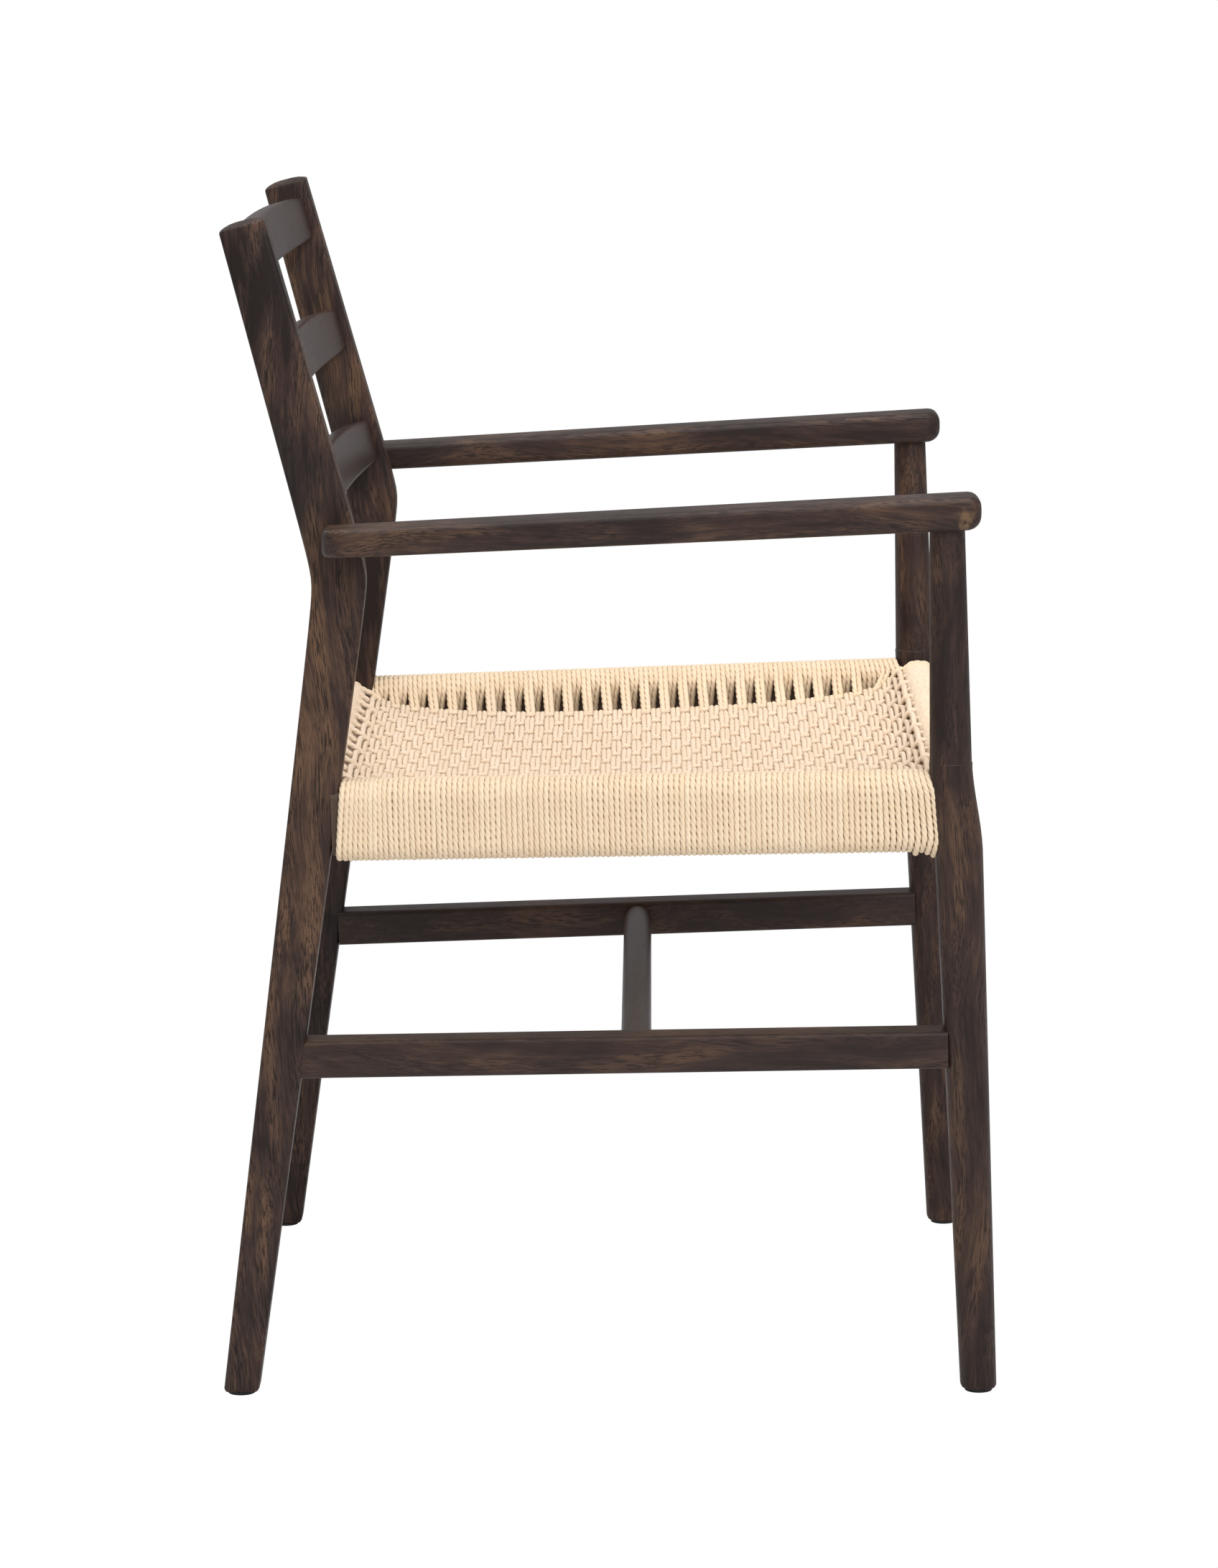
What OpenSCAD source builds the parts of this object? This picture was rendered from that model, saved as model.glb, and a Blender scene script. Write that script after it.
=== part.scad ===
// Wooden armchair with a paper cord seat. Millimetres, +Z up, the front of the chair faces -Y.
// The origin is on the floor, under the middle of the chair.

/* [Overall] */
// Height of the back posts at their front corner
chair_h = 815; // [795:1:830]
// Height of the wound seat rails' top at the back
seat_h = 431; // [420:1:440]
// Half the chair's width at the back, over the posts' outer faces at the floor
back_half_w = 240; // [230:1:250]
// Half the spacing of the front legs' centres at the floor
front_half_w = 227; // [217:1:237]

/* [Posts and legs] */
// Thickness of the back posts
post_t = 25; // [22:1:28]
// Radius of the posts' eased edges
post_edge = 3.2; // [2:0.1:5]
// Thickness of the front legs where they swell under the seat
leg_swell = 32.4; // [30:0.1:35]
// Thickness of the front legs at the floor
leg_foot = 24.8; // [22:0.1:27]
// Diameter of the front legs' turned part just above the seat
leg_turned = 29; // [27:0.1:31]
// Diameter of the front legs under the arms
leg_top = 24.2; // [22:0.1:26]

/* [Arms and back] */
// Width of the arms
arm_w = 38; // [34:1:42]
// Height of the back slats
slat_h = 32; // [28:1:36]
// How much taller the slats are in their middle
slat_crown = 5; // [0:1:10]
// Thickness of the back slats
slat_t = 16; // [12:1:17]
// How far the slats bow back in their middle
slat_bow = 15; // [8:1:20]

/* [Rails and stretchers] */
// Height of the bare seat rails
rail_h = 47; // [42:1:50]
// Thickness of the bare seat rails
rail_t = 22; // [20:1:24]
// Height and thickness of the side stretchers
stretcher_s = 26; // [22:1:28]
// Diameter of the cross stretcher
cross_d = 21; // [18:1:24]

/* [Seat] */
// Diameter of the paper cord
cord_d = 3.7; // [3:0.1:4]
// How far the woven seat hangs below the tops of its rails
seat_drop = 18; // [14:1:24]
// How much further it dips in its middle
seat_dip = 12; // [4:1:18]

/* [Hidden] */

oak = "#3b2e28";
cord = "#ecd9b8";
black = "#1c1b1a";
$fn = 48;

glide_h = 2;          // the wood stops this far above the floor
glide_d = 19;
nail_d = 2.5;
nail_l = 12;
dowel_d = 8;
arm_dowel_d = 6;
housing = 3;          // how deep a rail's full section is let into a leg
tenon_l = 15;         // how deep a tenon goes
slack = 0.3;          // air left round the cord solids

// ---- outlines in side view ----

// Two straight edges that meet in a soft bend: line y0 + s0*z, then y1 + s1*z, eased by e.
function bend(z, y0, s0, y1, s1, e) =
    let (a = y0 + s0 * z, b = y1 + s1 * z)
    (a + b) / 2 + sqrt(pow((a - b) / 2, 2) + e * e);

function post_front(z) = bend(z, 244.9, -0.1465, 2, 0.2775, 2);
function post_rear(z) = bend(z, 269.2, -0.1252, 51.3, 0.2571, 2.1);
function post_mid(z) = (post_front(z) + post_rear(z)) / 2;
function post_out(z) = back_half_w - 0.0155 * z;
function post_in(z) = post_out(z) - post_t;

function ease(t) = let (c = min(1, max(0, t))) c * c * (3 - 2 * c);
ring_z = 448;         // the fine line where the turned part of a front leg starts
leg_h = 609.2;
swell_z = 385;
function leg_blend(z) = ease((z - swell_z) / (ring_z - swell_z));
function leg_w(z) =
    let (low = leg_foot + (leg_swell - leg_foot) * z / swell_z,
         up = leg_turned + (leg_top - leg_turned) * (z - ring_z) / (leg_h - ring_z))
    low + (up - low) * leg_blend(z) + (z > ring_z ? -0.4 : 0.4) * (leg_blend(z) > 0.99 ? 1 : 0);
function leg_y(z) =
    let (low = -256 + 0.0445 * z, up = -229 - 0.0236 * (leg_h - z))
    low + (up - low) * leg_blend(z);
function leg_x(z) = front_half_w + 0.0566 * z;

function arm_bottom(y) = 598.2 - 0.0433 * y;
function arm_top(y) = 618.8 - 0.0515 * y;
arm_rear = 191;
arm_front = -251.5;
arm_len = arm_rear - arm_front;
function arm_in(y) = 230.5 + 11.5 * (arm_rear - y) / arm_len;

// ---- solids from rings of points ----

// A rounded rectangle round the origin, a by b, corner radius r, n steps per corner.
function rounded(a, b, r, n) = [for (k = [0:3], i = [0:n])
    let (ang = 90 * k + 90 * i / n,
         sx = (k == 0 || k == 3) ? 1 : -1,
         sy = (k < 2) ? 1 : -1,
         rr = min(r, a / 2 - 0.01, b / 2 - 0.01))
    [sx * (a / 2 - rr) + rr * cos(ang), sy * (b / 2 - rr) + rr * sin(ang)]];

// Joins rings of points, each with the same count, into one closed solid.
module skin(rings) {
    m = len(rings[0]);
    n = len(rings);
    points = [for (ring = rings, p = ring) p];
    sides = [for (i = [0:n - 2], j = [0:m - 1])
        let (a = i * m + j, b = i * m + (j + 1) % m) each [[a, b + m, b], [a, a + m, b + m]]];
    bottom = [for (j = [0:m - 1]) j];
    top = [for (j = [m - 1:-1:0]) (n - 1) * m + j];
    polyhedron(points = points, faces = concat([bottom], sides, [top]));
}

// A bar's section is the child, +y up; it runs from a to b.
module bar(a, b) {
    d = b - a;
    length = norm(d);
    translate(a) rotate([0, 0, atan2(d[0], -d[1])]) rotate([-asin(d[2] / length), 0, 0])
        rotate([90, 0, 0]) linear_extrude(length) children();
}

module rounded_rect(w, h, r) {
    square([w - 2 * r, h], center = true);
    square([w, h - 2 * r], center = true);
    for (x = [-1, 1], y = [-1, 1]) translate([x * (w / 2 - r), y * (h / 2 - r)]) circle(r);
}

module on_left() { mirror([1, 0, 0]) children(); }

// A round pin along X, from x0 to x1.
module pin_x(x0, x1, y, z, d) { translate([x0, y, z]) rotate([0, 90, 0]) cylinder(h = x1 - x0, d = d); }

// ---- back posts, modelled on the right (-X) ----

post_rings = [glide_h + post_edge, 150, 300, 420, 480, 510, 528, 542, 552, 560, 566, 572, 578, 585, 594,
    606, 622, 640, 680, 730, 780];
cap_slope = 0.27;     // the posts' tops fall away to the back

// One ring of the post: section grown or cut by d, front end at zf and rear end at zr.
function post_ring(zf, zr, d, lift = 0) =
    let (yf = post_front(zf), yr = post_rear(zr), w = yr - yf, x = -(post_out(zf) - post_t / 2))
    [for (p = rounded(w - 2 * d, post_t - 2 * d, post_edge, 4))
        let (t = (p[0] + w / 2) / w) [x - p[1], yf + t * w, zf + t * (zr - zf) + lift]];

module post_blank() {
    cap_edge = 2.5;
    zf = chair_h - cap_edge;
    zr = zf - cap_slope * 29;
    skin(concat(
        [post_ring(glide_h, glide_h, post_edge), post_ring(glide_h + 1, glide_h + 1, post_edge * 0.3)],
        [for (z = post_rings) post_ring(z, z, 0)],
        [post_ring(zf, zr, 0), post_ring(zf, zr, cap_edge * 0.08, cap_edge * 0.45),
         post_ring(zf, zr, cap_edge * 0.35, cap_edge * 0.8), post_ring(zf, zr, cap_edge, cap_edge + 0.2),
         post_ring(zf, zr, cap_edge * 2.4, cap_edge + 1.4), post_ring(zf, zr, cap_edge * 4, cap_edge + 2)]));
}

module back_post() {
    color(oak) difference() {
        post_blank();
        side_stretcher_solid();
        side_rail_solid();
        rear_rail_solid();
        for (i = [0:2]) slat_solid(i);
        arm_blank();
        arm_dowel_pair();
        rear_rail_dowels();
        glide_nail(post_foot);
    }
}

// ---- front legs ----

leg_rings = [glide_h + 3, 80, 160, 240, 310, 350, 375, 388, 396, 403, 410, 417, 424, 431, 438, 443, 446.5,
    447.6, 448.2, 449.5, 470, 500, 530, 560, 590];

function leg_ring(z, d = 0) =
    let (w = leg_w(z) - 2 * d, r = w * (0.36 + 0.135 * leg_blend(z)))
    [for (p = rounded(w, w, r, 7)) [-leg_x(z) + p[0], leg_y(z) + p[1], z]];

module leg_blank() {
    skin(concat([leg_ring(glide_h, 3), leg_ring(glide_h + 1, 0.9)], [for (z = leg_rings) leg_ring(z)],
        [leg_ring(leg_h)]));
}

module leg_tenon() {
    translate([-leg_x(leg_h), leg_y(leg_h), leg_h - 0.5]) rotate([-1.4, -3.2, 0]) cylinder(h = 14, d = 15);
}

module front_leg() {
    color(oak) {
        difference() {
            leg_blank();
            side_stretcher_solid();
            side_rail_solid();
            front_rail_solid();
            front_rail_dowels();
            glide_nail(leg_foot_at);
        }
        leg_tenon();
    }
}

// ---- arms ----

// How far a rounded end has drawn in, at s from the end, for a radius r.
function drawn_in(s, r) = s >= r ? 0 : r - sqrt(max(0, r * r - (r - s) * (r - s)));

function arm_ring(y) =
    let (s_rear = arm_rear - y, s_front = y - arm_front,
         x_in = arm_in(y) + drawn_in(s_front, 11) + drawn_in(s_rear, 2),
         x_out = arm_in(y) + arm_w - drawn_in(s_front, 11) - drawn_in(s_rear, 17),
         z_top = arm_top(y) - drawn_in(s_front, 8) - drawn_in(s_rear, 5),
         z_low = arm_bottom(y) + drawn_in(s_front, 10) * 0.8 + drawn_in(s_rear, 4),
         w = x_out - x_in, h = z_top - z_low)
    [for (p = rounded(w, h, 4.5, 5)) [-(x_in + x_out) / 2 - p[0], y, (z_top + z_low) / 2 + p[1]]];

arm_rings = concat([for (s = [0.02, 0.25, 0.9, 2, 3.5, 5.5, 8, 11, 14]) arm_front + s], [-200, -100, 0, 100],
    [for (s = [18, 14, 10, 6.5, 4, 2.3, 1, 0.25, 0]) arm_rear - s]);

module arm_blank() { skin([for (y = arm_rings) arm_ring(y)]); }

module armrest() {
    color(oak) difference() {
        arm_blank();
        skin([for (z = [590, leg_h]) leg_ring(z)]);
        leg_tenon();
        arm_dowel_pair();
    }
}

module arm_dowel_pair() {
    pin_x(-(arm_in(arm_rear) + 15), -(arm_in(arm_rear) - 13), 173, 602, arm_dowel_d);
    pin_x(-(arm_in(arm_rear) + 15), -(arm_in(arm_rear) - 13), 183, 598, arm_dowel_d);
}

// ---- back slats ----

slat_z = [785, 701, 617];     // where each slat's middle height meets the posts
slat_tilt = 15;
slat_set_back = 6;            // behind the posts' front faces

function slat_origin(i) = let (z = slat_z[i]) [0, post_front(z) + slat_set_back, z];
function slat_end(i) = post_in(slat_z[i]) + 1.5;

function slat_ring(i, x) =
    let (o = slat_origin(i), e = slat_end(i), bow = slat_bow * (1 - pow(x / e, 2)),
         crown = slat_crown * (1 - pow(x / e, 4)))
    [for (p = rounded(slat_t, slat_h + crown, 3.5, 4))
        let (u = p[0] + slat_t / 2 + bow, v = p[1] + crown / 2)
        [x, o[1] + u * cos(slat_tilt) + v * sin(slat_tilt), o[2] - u * sin(slat_tilt) + v * cos(slat_tilt)]];

module slat_solid(i) {
    e = slat_end(i);
    skin([for (k = [-12:12]) slat_ring(i, e * k / 12)]);
    for (side = [-1, 1])
        translate([side * (e + tenon_l / 2 - 1), slat_origin(i)[1], slat_z[i]]) rotate([-slat_tilt, 0, 0])
            translate([0, slat_t / 2, 0]) cube([tenon_l, slat_t - 6, slat_h - 8], center = true);
}

module slat(i) { color(oak) slat_solid(i); }

// ---- seat rails ----

wrap_h = rail_h + 2 * cord_d;
wrap_t = rail_t + 2 * cord_d;
rail_z_rear = seat_h - wrap_h / 2;
rail_z_front = rail_z_rear + 9;
rail_r = 8;
rear_rail_y = post_mid(rail_z_rear);
front_rail_y = leg_y(rail_z_front);
side_a = [-(post_out(rail_z_rear) - 10), post_front(rail_z_rear), rail_z_rear];
side_b = [-(leg_x(rail_z_front) - 4.5), leg_y(rail_z_front) + leg_w(rail_z_front) / 2, rail_z_front];
function along_side(s) = side_a + (side_b - side_a) * s / norm(side_b - side_a);
side_len = norm(side_b - side_a);

module side_rail_solid() {
    bar(along_side(-2), along_side(side_len + housing)) rounded_rect(rail_t, rail_h, rail_r);
    bar(along_side(-tenon_l), along_side(side_len + 12)) square([11, rail_h - 16], center = true);
}

rear_end = post_in(rail_z_rear) + 2;
front_end = leg_x(rail_z_front) - leg_w(rail_z_front) / 2 + housing;

module cross_rail(y, z, half) {
    translate([-half, y, z]) rotate([90, 0, 90]) linear_extrude(2 * half) rounded_rect(rail_t, rail_h, rail_r);
}
module rear_rail_solid() { cross_rail(rear_rail_y, rail_z_rear, rear_end); }
module front_rail_solid() { cross_rail(front_rail_y, rail_z_front, front_end); }

// Dowels of the cross rails on the right (-X) side.
module rear_rail_dowels() {
    for (z = [-10, 10]) pin_x(-rear_end - 13, -rear_end + 18, rear_rail_y + 4, rail_z_rear + z, dowel_d);
}
module front_rail_dowels() {
    for (z = [-10, 10]) pin_x(-front_end - 12, -front_end + 18, front_rail_y - 3, rail_z_front + z, dowel_d);
}

module rear_seat_rail() {
    color(oak) difference() {
        rear_rail_solid();
        rear_rail_dowels();
        on_left() rear_rail_dowels();
    }
}
module front_seat_rail() {
    color(oak) difference() {
        front_rail_solid();
        front_rail_dowels();
        on_left() front_rail_dowels();
    }
}
module side_seat_rail() { color(oak) side_rail_solid(); }

// ---- stretchers ----

stretcher_z = 238;
stretcher_rise = 9.8;
low_a = [-(post_out(stretcher_z) - 1 - stretcher_s / 2), post_front(stretcher_z), stretcher_z];
low_z = stretcher_z + stretcher_rise;
low_b = [-leg_x(low_z), leg_y(low_z) + leg_w(low_z) / 2, low_z];
low_len = norm(low_b - low_a);
function along_low(s) = low_a + (low_b - low_a) * s / low_len;
cross_at = along_low(low_len * 0.52);
cross_tenon_d = 14;

module side_stretcher_solid() {
    bar(along_low(-2), along_low(low_len + 2.5)) rounded_rect(stretcher_s, stretcher_s, 3.5);
    bar(along_low(-tenon_l), along_low(low_len + tenon_l)) square([12, 18], center = true);
}

module cross_solid() {
    shoulder = -cross_at[0] - stretcher_s / 2 + 1.5;
    translate([0, cross_at[1], cross_at[2]]) rotate([0, 90, 0]) {
        cylinder(h = 2 * shoulder, d = cross_d, center = true);
        cylinder(h = 2 * (shoulder + 14), d = cross_tenon_d, center = true);
    }
}

module side_stretcher() {
    color(oak) difference() {
        side_stretcher_solid();
        cross_solid();
    }
}
module cross_stretcher() { color(oak) cross_solid(); }

// ---- groups of dowels ----

module arm_dowels() {
    color("tan") {
        arm_dowel_pair();
        on_left() arm_dowel_pair();
    }
}
module seat_rail_dowels() {
    color("tan") {
        front_rail_dowels();
        rear_rail_dowels();
        on_left() front_rail_dowels();
        on_left() rear_rail_dowels();
    }
}

// ---- glides ----

post_foot = [-(post_out(0) - post_t / 2), post_mid(0), 0];
leg_foot_at = [-leg_x(0), leg_y(0), 0];

module glide(at) {
    color(black) translate(at) difference() {
        cylinder(h = glide_h, d = glide_d);
        translate([0, 0, glide_h - 1]) cylinder(h = 2, d = nail_d);
    }
}
module glide_nails() {
    color("silver") {
        glide_nail(post_foot);
        glide_nail(leg_foot_at);
        on_left() glide_nail(post_foot);
        on_left() glide_nail(leg_foot_at);
    }
}
module glide_nail(at) { translate(at + [0, 0, glide_h - 1]) cylinder(h = nail_l, d = nail_d); }

// ---- paper cord: closed solids for the windings and the woven seat ----

// Cuts away everything behind the posts' front faces, or past the legs' rear faces.
module side_wrap() {
    lean = atan(0.1465);
    color(cord) difference() {
        bar(along_side(-8), along_side(side_len + 1.5)) rounded_rect(wrap_t, wrap_h, rail_r + cord_d);
        bar(along_side(-12), along_side(side_len + 8)) rounded_rect(rail_t, rail_h, rail_r);
        translate(side_a + [0, -slack - 0.3, 0]) rotate([lean, 0, 0])
            translate([-60, 0, -60]) cube([120, 60, 120]);
        translate(side_b + [0, 2.4, 0]) rotate([-2.9, 0, 0])
            translate([-60, -60, -60]) cube([120, 60, 120]);
    }
}

module cross_wrap(y, z, half) {
    color(cord) translate([-half, y, z]) rotate([90, 0, 90]) linear_extrude(2 * half) difference() {
        rounded_rect(wrap_t, wrap_h, rail_r + cord_d);
        rounded_rect(rail_t, rail_h, rail_r);
    }
}

module front_wrap() { cross_wrap(front_rail_y, rail_z_front, front_end - housing - 0.8); }
module rear_wrap() { cross_wrap(rear_rail_y, rail_z_rear, rear_end - 2 - 0.8); }

seat_y0 = front_rail_y + wrap_t / 2 + slack;
seat_y1 = rear_rail_y - wrap_t / 2 - slack;
seat_cells = 14;
function seat_half_w(y) =
    let (t = (side_a[1] - y) / (side_a[1] - side_b[1]))
    -(side_a[0] + (side_b[0] - side_a[0]) * t) - wrap_t / 2 - slack - 1;
function seat_edge_z(y) = seat_h - seat_drop + (rail_z_front - rail_z_rear) * (side_a[1] - y) / (side_a[1] - side_b[1]);

// u and v run from -1 to 1 across and along the seat.
function seat_point(u, v, down) =
    let (y = (seat_y0 + seat_y1) / 2 + v * (seat_y1 - seat_y0) / 2,
         dip = seat_dip * (1 - pow(abs(u), 2.6)) * (1 - pow(abs(v), 2.6)))
    [u * seat_half_w(y), y, seat_edge_z(y) - dip - down];

module woven_seat() {
    n = seat_cells;
    m = n + 1;
    step = [for (i = [0:n]) 2 * i / n - 1];
    points = [for (down = [2 * cord_d, 0], v = step, u = step) seat_point(u, v, down)];
    function at(layer, i, j) = layer * m * m + i * m + j;
    tops = [for (i = [0:n - 1], j = [0:n - 1])
        each [[at(1, i, j), at(1, i + 1, j), at(1, i + 1, j + 1)], [at(1, i, j), at(1, i + 1, j + 1), at(1, i, j + 1)]]];
    lows = [for (i = [0:n - 1], j = [0:n - 1])
        each [[at(0, i, j), at(0, i + 1, j + 1), at(0, i + 1, j)], [at(0, i, j), at(0, i, j + 1), at(0, i + 1, j + 1)]]];
    edges = [for (k = [0:n - 1]) each [
        [at(0, 0, k), at(1, 0, k), at(1, 0, k + 1)], [at(0, 0, k), at(1, 0, k + 1), at(0, 0, k + 1)],
        [at(0, n, k), at(1, n, k + 1), at(1, n, k)], [at(0, n, k), at(0, n, k + 1), at(1, n, k + 1)],
        [at(0, k, 0), at(1, k + 1, 0), at(1, k, 0)], [at(0, k, 0), at(0, k + 1, 0), at(1, k + 1, 0)],
        [at(0, k, n), at(1, k, n), at(1, k + 1, n)], [at(0, k, n), at(1, k + 1, n), at(0, k + 1, n)]]];
    color(cord) polyhedron(points = points, faces = concat(tops, lows, edges));
}

back_post();  // back_post_right
on_left() back_post();  // back_post_left
front_leg();  // front_leg_right
on_left() front_leg();  // front_leg_left
armrest();  // armrest_right
on_left() armrest();  // armrest_left
slat(0);  // top_slat
slat(1);  // middle_slat
slat(2);  // bottom_slat
front_seat_rail();
rear_seat_rail();
side_seat_rail();  // side_seat_rail_right
on_left() side_seat_rail();  // side_seat_rail_left
side_stretcher();  // side_stretcher_right
on_left() side_stretcher();  // side_stretcher_left
cross_stretcher();
arm_dowels();
seat_rail_dowels();
glide(post_foot);  // glide_back_right
on_left() glide(post_foot);  // glide_back_left
glide(leg_foot_at);  // glide_front_right
on_left() glide(leg_foot_at);  // glide_front_left
glide_nails();
front_wrap();  // front_rail_cord_wrap
rear_wrap();  // rear_rail_cord_wrap
side_wrap();  // side_rail_cord_wrap_right
on_left() side_wrap();  // side_rail_cord_wrap_left
woven_seat();
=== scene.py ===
import math
import random

import bpy
from mathutils import Vector, Matrix


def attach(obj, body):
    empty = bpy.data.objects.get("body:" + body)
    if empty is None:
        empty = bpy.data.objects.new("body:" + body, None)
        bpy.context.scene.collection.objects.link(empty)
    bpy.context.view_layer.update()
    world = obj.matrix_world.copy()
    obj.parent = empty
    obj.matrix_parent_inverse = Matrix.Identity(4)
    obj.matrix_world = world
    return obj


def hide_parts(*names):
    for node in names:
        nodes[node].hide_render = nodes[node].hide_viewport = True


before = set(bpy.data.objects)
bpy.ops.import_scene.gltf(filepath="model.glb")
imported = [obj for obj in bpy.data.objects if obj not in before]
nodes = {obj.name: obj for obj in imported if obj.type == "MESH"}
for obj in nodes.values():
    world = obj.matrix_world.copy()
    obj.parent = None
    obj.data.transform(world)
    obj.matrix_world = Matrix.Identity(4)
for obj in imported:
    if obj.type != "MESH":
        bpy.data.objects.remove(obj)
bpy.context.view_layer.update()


# ---- camera, first of all ----

camera = {
    "place": (-3.7836, -0.0329, 1.0685),
    "pitch": 10.19,        # degrees below the horizon
    "yaw": -0.51,
    "roll": -0.333,
    "lens": 121.55,        # on a sensor 36 mm high
}


def makeCamera():
    pitch, yaw, roll = (math.radians(camera[k]) for k in ("pitch", "yaw", "roll"))
    level = math.cos(pitch)
    ahead = Vector((level * math.cos(yaw), -level * math.sin(yaw), -math.sin(pitch)))
    right = Vector((-math.sin(yaw), -math.cos(yaw), 0.0))
    up = right.cross(ahead)
    right, up = (math.cos(roll) * right + math.sin(roll) * up,
                 math.cos(roll) * up - math.sin(roll) * right)
    data = bpy.data.cameras.new("chairCamera")
    data.sensor_fit = "VERTICAL"
    data.sensor_height = 36.0
    data.lens = camera["lens"]
    data.clip_end = 60.0
    ob = bpy.data.objects.new("chairCamera", data)
    facing = Matrix((right, up, -ahead)).transposed().to_4x4()
    ob.matrix_world = Matrix.Translation(camera["place"]) @ facing
    bpy.context.scene.collection.objects.link(ob)
    bpy.context.scene.camera = ob


# ---- node helpers ----

def link(tree, source, target):
    tree.links.new(source, target)


def addNode(tree, kind, **settings):
    node = tree.nodes.new(kind)
    for key, value in settings.items():
        setattr(node, key, value)
    return node


def plug(tree, node, **values):
    # fills a node's inputs by name, or by number as n0, n1 and on: a socket is linked and anything
    # else is set as a value
    for key, value in values.items():
        numbered = key.startswith("n") and key[1:].isdigit()
        socket = node.inputs[int(key[1:]) if numbered else key.replace("_", " ")]
        if isinstance(value, bpy.types.NodeSocket):
            link(tree, value, socket)
        else:
            socket.default_value = value
    return node


def maths(tree, operation, a, b=None, clamp=False):
    node = addNode(tree, "ShaderNodeMath", operation=operation, use_clamp=clamp)
    for socket, value in zip(node.inputs, (a, b)):
        if isinstance(value, bpy.types.NodeSocket):
            link(tree, value, socket)
        elif value is not None:
            socket.default_value = value
    return node.outputs[0]


def ramp(tree, value, stops):
    # a colour ramp from (place, colour) stops
    node = addNode(tree, "ShaderNodeValToRGB")
    elements = node.color_ramp.elements
    while len(elements) < len(stops):
        elements.new(0.5)
    for element, (place, colour) in zip(elements, stops):
        element.position = place
        element.color = (*colour, 1.0)
    link(tree, value, node.inputs[0])
    return node.outputs[0]


def span(tree, value, low, high, newLow=0.0, newHigh=1.0):
    node = addNode(tree, "ShaderNodeMapRange", clamp=True)
    return plug(tree, node, n0=value, n1=low, n2=high, n3=newLow, n4=newHigh).outputs[0]


def noise(tree, place, scale, detail=2.0, rough=0.5, distortion=0.0):
    node = addNode(tree, "ShaderNodeTexNoise")
    return plug(tree, node, Vector=place, Scale=scale, Detail=detail, Roughness=rough,
                Distortion=distortion).outputs[0]


def weighted(tree, a, shareA, b, shareB):
    return maths(tree, "ADD", maths(tree, "MULTIPLY", a, shareA), maths(tree, "MULTIPLY", b, shareB))


def swing(tree, value, share):
    # a pattern's swing about its middle
    return maths(tree, "MULTIPLY", maths(tree, "SUBTRACT", value, 0.5), share)


def distance(tree, coords, place):
    node = addNode(tree, "ShaderNodeVectorMath", operation="DISTANCE")
    return plug(tree, node, n0=coords, n1=place).outputs["Value"]


def blendColour(tree, share, a, b, kind="MIX"):
    node = addNode(tree, "ShaderNodeMix", data_type="RGBA", blend_type=kind)
    for index, value in ((0, share), (6, a), (7, b)):
        if isinstance(value, bpy.types.NodeSocket):
            link(tree, value, node.inputs[index])
        elif index == 0:
            node.inputs[0].default_value = value
        else:
            node.inputs[index].default_value = (*value, 1.0)
    return node.outputs[2]


def newMaterial(name):
    mat = bpy.data.materials.new(name)
    mat.use_nodes = True
    tree = mat.node_tree
    shader = tree.nodes["Principled BSDF"]
    return mat, tree, shader


# ---- stained oak ----

oak = {
    "umber": (0.0135, 0.0076, 0.0066),
    "brown": (0.047, 0.0258, 0.0204),
    "ochre": (0.122, 0.067, 0.0395),
    "pore": (0.0060, 0.0040, 0.0034),
    "even": (0.0320, 0.0195, 0.0172),
    "smoke": (0.0120, 0.0100, 0.0095),
    # where the colour is darkened about the joints: middle and radius. The middles lie behind the
    # wood, so only the patches' rims show.
    "smoky": [((-0.225, 0.232, 0.628), 0.050), ((0.225, 0.232, 0.628), 0.050),
              ((-0.215, 0.245, 0.665), 0.045), ((0.215, 0.245, 0.665), 0.045),
              ((-0.262, 0.214, 0.610), 0.034), ((0.262, 0.214, 0.610), 0.034)],
    "worn": (0.165, 0.100, 0.052),
    # where the finish has come off the front corner of the right arm: middle and radius
    "chipped": [((-0.279, -0.2405, 0.6185), 0.0058), ((-0.279, -0.2395, 0.6110), 0.0045)],
    "roughness": 0.42,
    "sheen": 0.24,         # specular level of the plainest pieces; a glossier one is also smoother
}


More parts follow.
